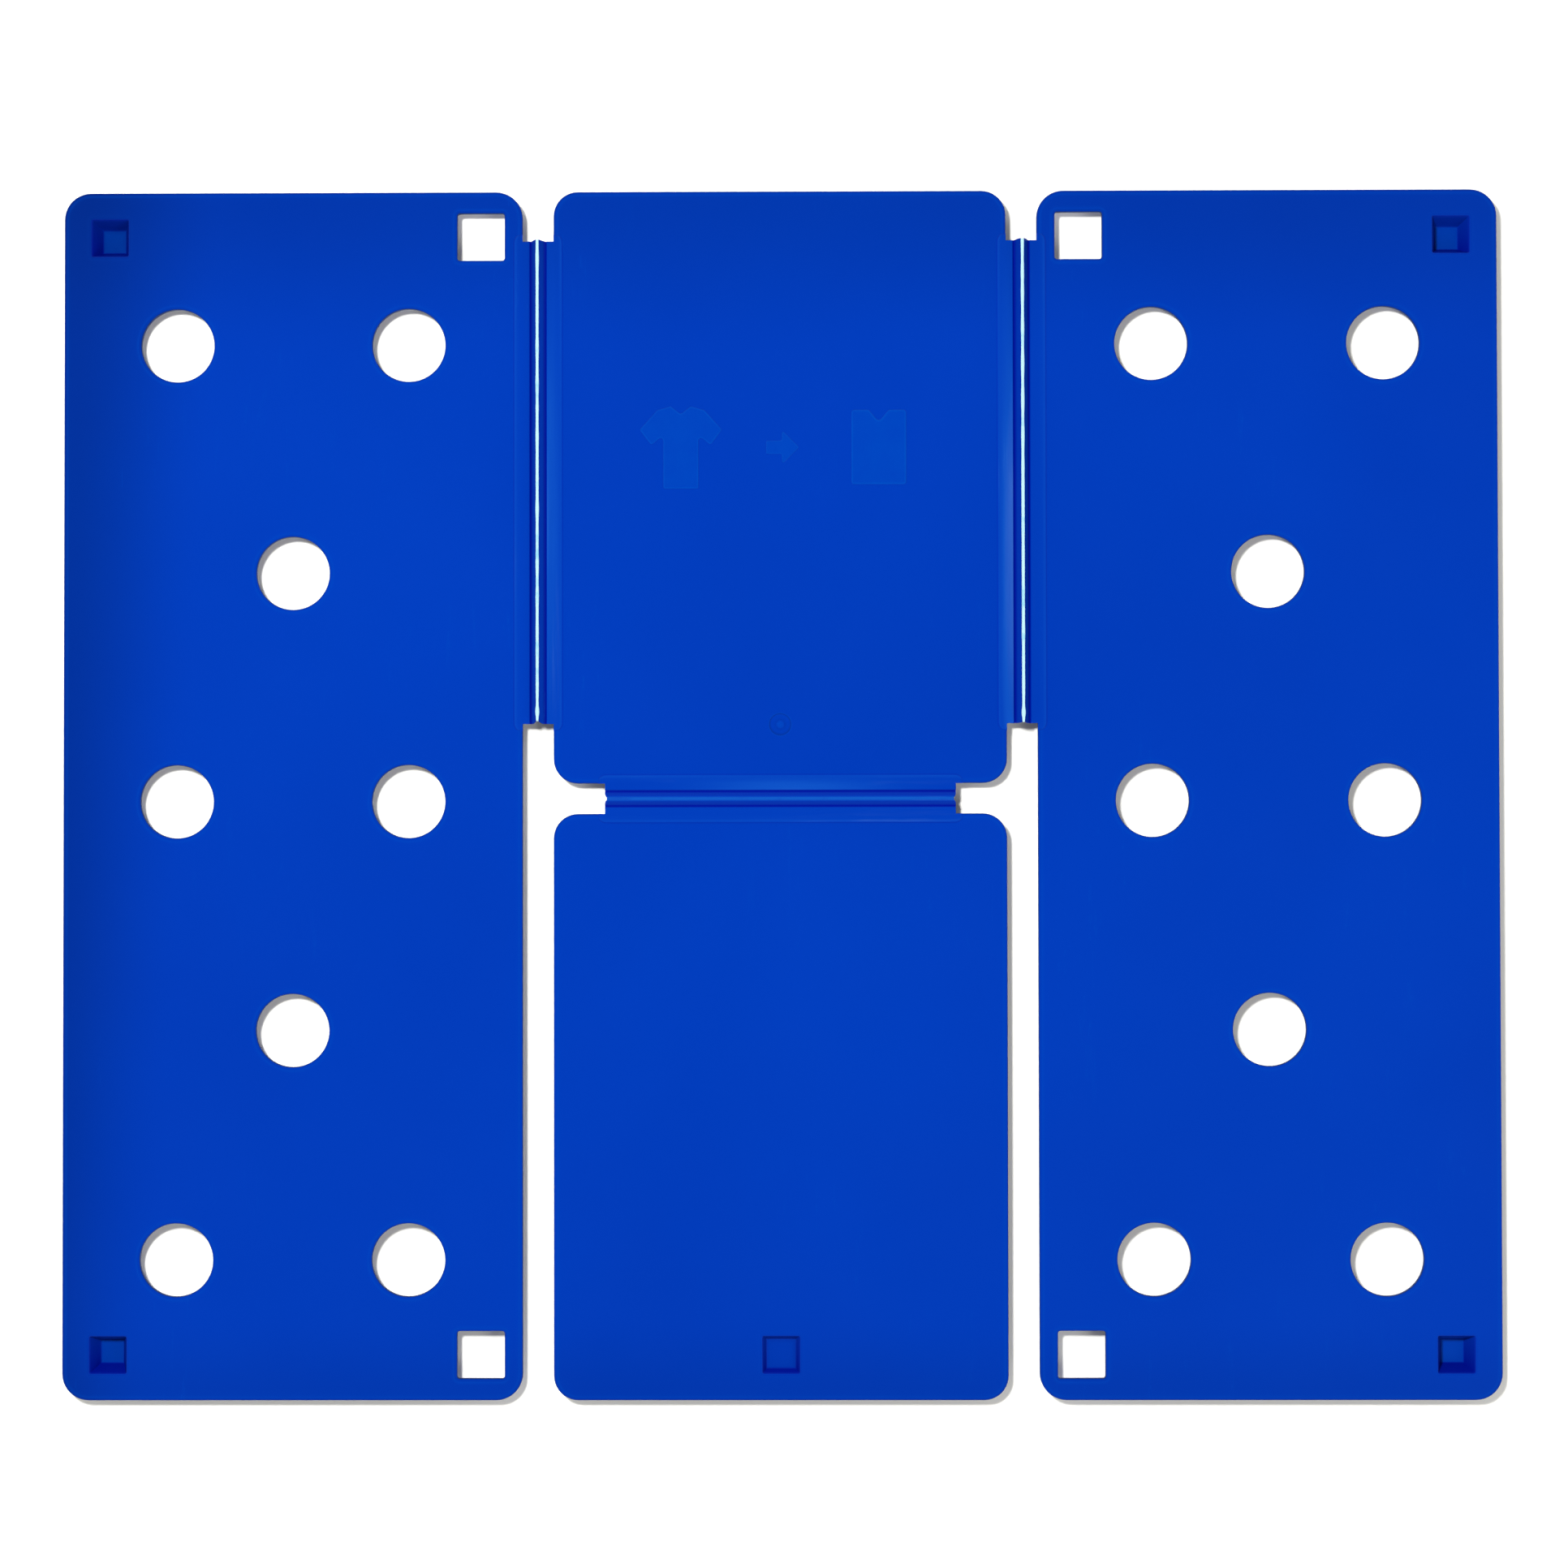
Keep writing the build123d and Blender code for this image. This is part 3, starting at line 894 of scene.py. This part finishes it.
def make_web(name, node, hinge, outward, material, bodies, wobble, bulge=0.0):
    """The thin strip along the crest, of uneven width, which bends as the hinge folds."""
    outward = Vector(outward)
    along = Vector((-outward.y, outward.x, 0))
    half = hinge["length"] / 2
    start_w = -half + notch_at(hinge, along, -half)
    end_w = half - notch_at(hinge, along, half)
    steps, columns = 160, 6
    mesh = new_mesh()
    sheets = []
    for level in (0.0, -WEB_THICKNESS):
        rows = []
        for i in range(steps + 1):
            w = start_w + (end_w - start_w) * i / steps
            from_end = w - start_w if along.x + along.y > 0 else end_w - w
            width = web_half_width(w, from_end, wobble, bulge)
            row = []
            for k in range(columns + 1):
                u = width * (2 * k / columns - 1)
                sag = 0.01 * MM + 0.05 * MM * (u / width) ** 2
                spot = hinge["middle"] + outward * u + along * w
                row.append(add_vert(mesh, (spot.x, spot.y, SHEET_TOP + hinge["crest"] + level - sag)))
            rows.append(row)
        sheets.append(rows)
    top, bottom = sheets
    for rows in sheets:
        for row_a, row_b in zip(rows, rows[1:]):
            for k in range(columns):
                mesh.faces.new((row_a[k], row_a[k + 1], row_b[k + 1], row_b[k]))

    def rim(rows):
        return [row[0] for row in rows] + rows[-1][1:] + [row[-1] for row in rows[-2::-1]] + rows[0][-2:0:-1]

    bridge(mesh, rim(top), rim(bottom))
    piece = finish_piece(mesh, name, material, None, [node])
    level = SHEET_TOP + hinge["crest"]
    start, end = (hinge["middle"] + outward * reach for reach in (-WEB_WIDTH / 2, WEB_WIDTH / 2))
    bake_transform(piece, *bodies, start=(start.x, start.y, level), end=(end.x, end.y, level))
    return piece


def make_hinges():
    # A flank that faces left lies in more shade than one that faces right.
    left_flank, right_flank = -0.15, 0.0
    notches = {"left": (1.3 * MM, 0.0), "right": (0.4 * MM, 0.5 * MM)}
    for name, side in SIDES.items():
        hinge = hinge_of(f"{name}_wing_fold", f"{name}_hinge_centre_leaf", f"{name}_hinge_web", notches[name])
        outer_flank, inner_flank = (right_flank, left_flank) if side > 0 else (left_flank, right_flank)
        node, body = f"{name}_hinge_centre_leaf", "upper_centre"
        highlight, outward = SIDE_HIGHLIGHT[name], (-side, 0, 0)
        make_leaf(f"{name}_centre_leaf", node, hinge, outward, body, SIDE_LEAF_BLUE, highlight, inner_flank)
        node, body = f"{name}_hinge_wing_leaf", f"{name}_wing"
        highlight, outward = FAINT_HIGHLIGHT, (side, 0, 0)
        make_leaf(f"{name}_wing_leaf", node, hinge, outward, body, SIDE_LEAF_BLUE, highlight, outer_flank)
        bodies = ("upper_centre", f"{name}_wing")
        make_web(f"{name}_web", f"{name}_hinge_web", hinge, outward, PALE_LIT_WEB, bodies, 5.0 + side, 1.0)
    hinge = hinge_of("lower_panel_fold", "lower_hinge_centre_leaf", "lower_hinge_web", (1.0 * MM, 1.0 * MM))
    # The cross hinge's flanks are painted in shade and a painted glow runs beside its web.
    node, body = "lower_hinge_centre_leaf", "upper_centre"
    make_leaf("cross_centre_leaf", node, hinge, (0, 1, 0), body, CROSS_LEAF_BLUE, CROSS_HIGHLIGHT, -0.35, 0.55)
    node, body = "lower_hinge_panel_leaf", "lower_centre"
    make_leaf("cross_panel_leaf", node, hinge, (0, -1, 0), body, CROSS_LEAF_BLUE, FAINT_HIGHLIGHT, -0.35, 0.55)
    bodies = ("upper_centre", "lower_centre")
    make_web("cross_web", "lower_hinge_web", hinge, (0, -1, 0), GLOWING_BLUE_WEB, bodies, 9.0)


# ---------------------------------------------------------------------------------------------
# Marks: a generic raised pictogram of a shirt, an arrow and the folded shirt
# ---------------------------------------------------------------------------------------------
MARK_HEIGHT = 0.22 * MM
MARK_ROOT = 0.3 * MM
MARK_Y = 175.0 * MM
MARK_SPACING = 50.0 * MM


def make_mark(name, centre_x, corners_mm, radius):
    """A raised shape, which reaches a little down into the sheet."""
    corners = [(centre_x + x * MM, MARK_Y + y * MM) for x, y in corners_mm]
    top = SHEET_TOP + MARK_HEIGHT
    # The mark's top and edge carry painted highlights and its foot painted shade.
    profile = [
        (0.8 * radius, top, 0.4),
        (0.6 * MM, top, 0.9),
        (0.25 * MM, top - 0.05 * MM, 0.5),
        (0.0, SHEET_TOP, -0.35),
        (0.0, SHEET_TOP - MARK_ROOT, -0.35),
    ]
    outline = rounded_polygon(corners, radius)
    mesh = plate((outline, profile), top=top, bottom=SHEET_TOP - MARK_ROOT, step=0)
    return finish_piece(mesh, name, MARK_BLUE, "upper_centre")


def make_pictogram():
    half_shirt = [(9, -21), (9, 6), (15, 1), (21, 9), (12, 19), (5, 21)]
    collar = [(0, 17)]
    mirrored = [(-x, y) for x, y in reversed(half_shirt)]
    make_mark("shirt_mark", -MARK_SPACING, half_shirt + collar + mirrored, 1.2 * MM)
    arrow = [(-7, -3.5), (1, -3.5), (1, -9), (10, 0), (1, 9), (1, 3.5), (-7, 3.5)]
    make_mark("arrow_mark", 0.0, arrow, 0.8 * MM)
    folded = [(14, -19), (14, 19), (5, 19), (0, 13), (-5, 19), (-14, 19), (-14, -19)]
    make_mark("folded_shirt_mark", MARK_SPACING, folded, 1.6 * MM)


# ---------------------------------------------------------------------------------------------
# Stage
# ---------------------------------------------------------------------------------------------
CAMERA_X = 7.4 * MM
CAMERA_Y = -8.1 * MM
CAMERA_HEIGHT = 1079.9 * MM
# Degrees about X, Y and Z; the lens and the sensor are in millimetres, as Blender wants them
CAMERA_TILT = (0.692, 0.294, -0.0995)
FOCAL_LENGTH = 49.1925
SENSOR_WIDTH = 36.0

# The floor ends where the world beyond it looks just as white
FLOOR_RADIUS = 2.2
FLOOR_DROP = 0.2 * MM

# Lamps: where they are, how large, and how strong, with no falloff by distance
KEY_OFFSET = (-0.29, 0.30)
KEY_RADIUS = 0.085
KEY_STRENGTH = 5.1
FILL_PLACE = (0.9, -0.9, 0.9)
FILL_RADIUS = 0.35
FILL_STRENGTH = 1.2
HORIZON_LIGHT, ZENITH_LIGHT = 1.4, 0.04


def make_camera():
    data = bpy.data.cameras.new("camera")
    data.sensor_width = SENSOR_WIDTH
    data.lens = FOCAL_LENGTH
    camera = bpy.data.objects.new("camera", data)
    bpy.context.scene.collection.objects.link(camera)
    turn_x, turn_y, turn_z = (
        Matrix.Rotation(math.radians(angle), 4, axis) for angle, axis in zip(CAMERA_TILT, "XYZ")
    )
    place = Matrix.Translation((CAMERA_X, CAMERA_Y, SHEET_TOP + CAMERA_HEIGHT))
    camera.matrix_world = place @ turn_x @ turn_y @ turn_z
    bpy.context.scene.camera = camera


def make_floor():
    mesh = bmesh.new()
    bmesh.ops.create_circle(mesh, cap_ends=True, segments=64, radius=FLOOR_RADIUS)
    data = bpy.data.meshes.new("floor")
    mesh.to_mesh(data)
    mesh.free()
    material, _, shader = new_material("white_table")
    shader.inputs["Base Color"].default_value = (0.92, 0.91, 0.85, 1)
    shader.inputs["Roughness"].default_value = 0.9
    shader.inputs["Specular IOR Level"].default_value = 0.0
    data.materials.append(material)
    floor = bpy.data.objects.new("floor", data)
    floor.location.z = -FLOOR_DROP
    bpy.context.scene.collection.objects.link(floor)


def make_lamp(name, place, radius, strength):
    """A round soft lamp whose strength doesn't fall off with distance."""
    data = bpy.data.lights.new(name, "POINT")
    data.shadow_soft_size = radius
    data.use_nodes = True
    falloff = add_node(data.node_tree, "ShaderNodeLightFalloff", Strength=strength)
    link(data.node_tree, falloff, "Constant", data.node_tree.nodes["Emission"], "Strength")
    lamp = bpy.data.objects.new(name, data)
    lamp.location = place
    lamp.visible_glossy = False
    lamp.visible_camera = False
    bpy.context.scene.collection.objects.link(lamp)


def make_lights():
    scene = bpy.context.scene
    world = bpy.data.worlds.new("studio")
    scene.world = world
    world.use_nodes = True
    tree = world.node_tree
    background = tree.nodes["Background"]
    background.inputs["Color"].default_value = (1, 1, 1, 1)
    direction = add_node(tree, "ShaderNodeTexCoord")
    axes = add_node(tree, "ShaderNodeSeparateXYZ")
    link(tree, direction, "Generated", axes, "Vector")
    sky = range_node(tree, axes, "Z", 0.0, 1.0, HORIZON_LIGHT, ZENITH_LIGHT)
    link(tree, sky, "Result", background, "Strength")

    key_place = (CAMERA_X + KEY_OFFSET[0], CAMERA_Y + KEY_OFFSET[1], SHEET_TOP + CAMERA_HEIGHT)
    make_lamp("key", key_place, KEY_RADIUS, KEY_STRENGTH)
    make_lamp("fill", FILL_PLACE, FILL_RADIUS, FILL_STRENGTH)

    scene.view_settings.view_transform = "Standard"
    scene.view_settings.look = "None"


make_camera()
make_floor()
make_lights()
make_panels()
for wing in SIDES:
    for end_name in ENDS:
        make_foot(f"{wing}_wing_{end_name}_foot", f"{wing}_wing")
make_foot("lower_centre_foot", "lower_centre")
make_hinges()
make_pictogram()
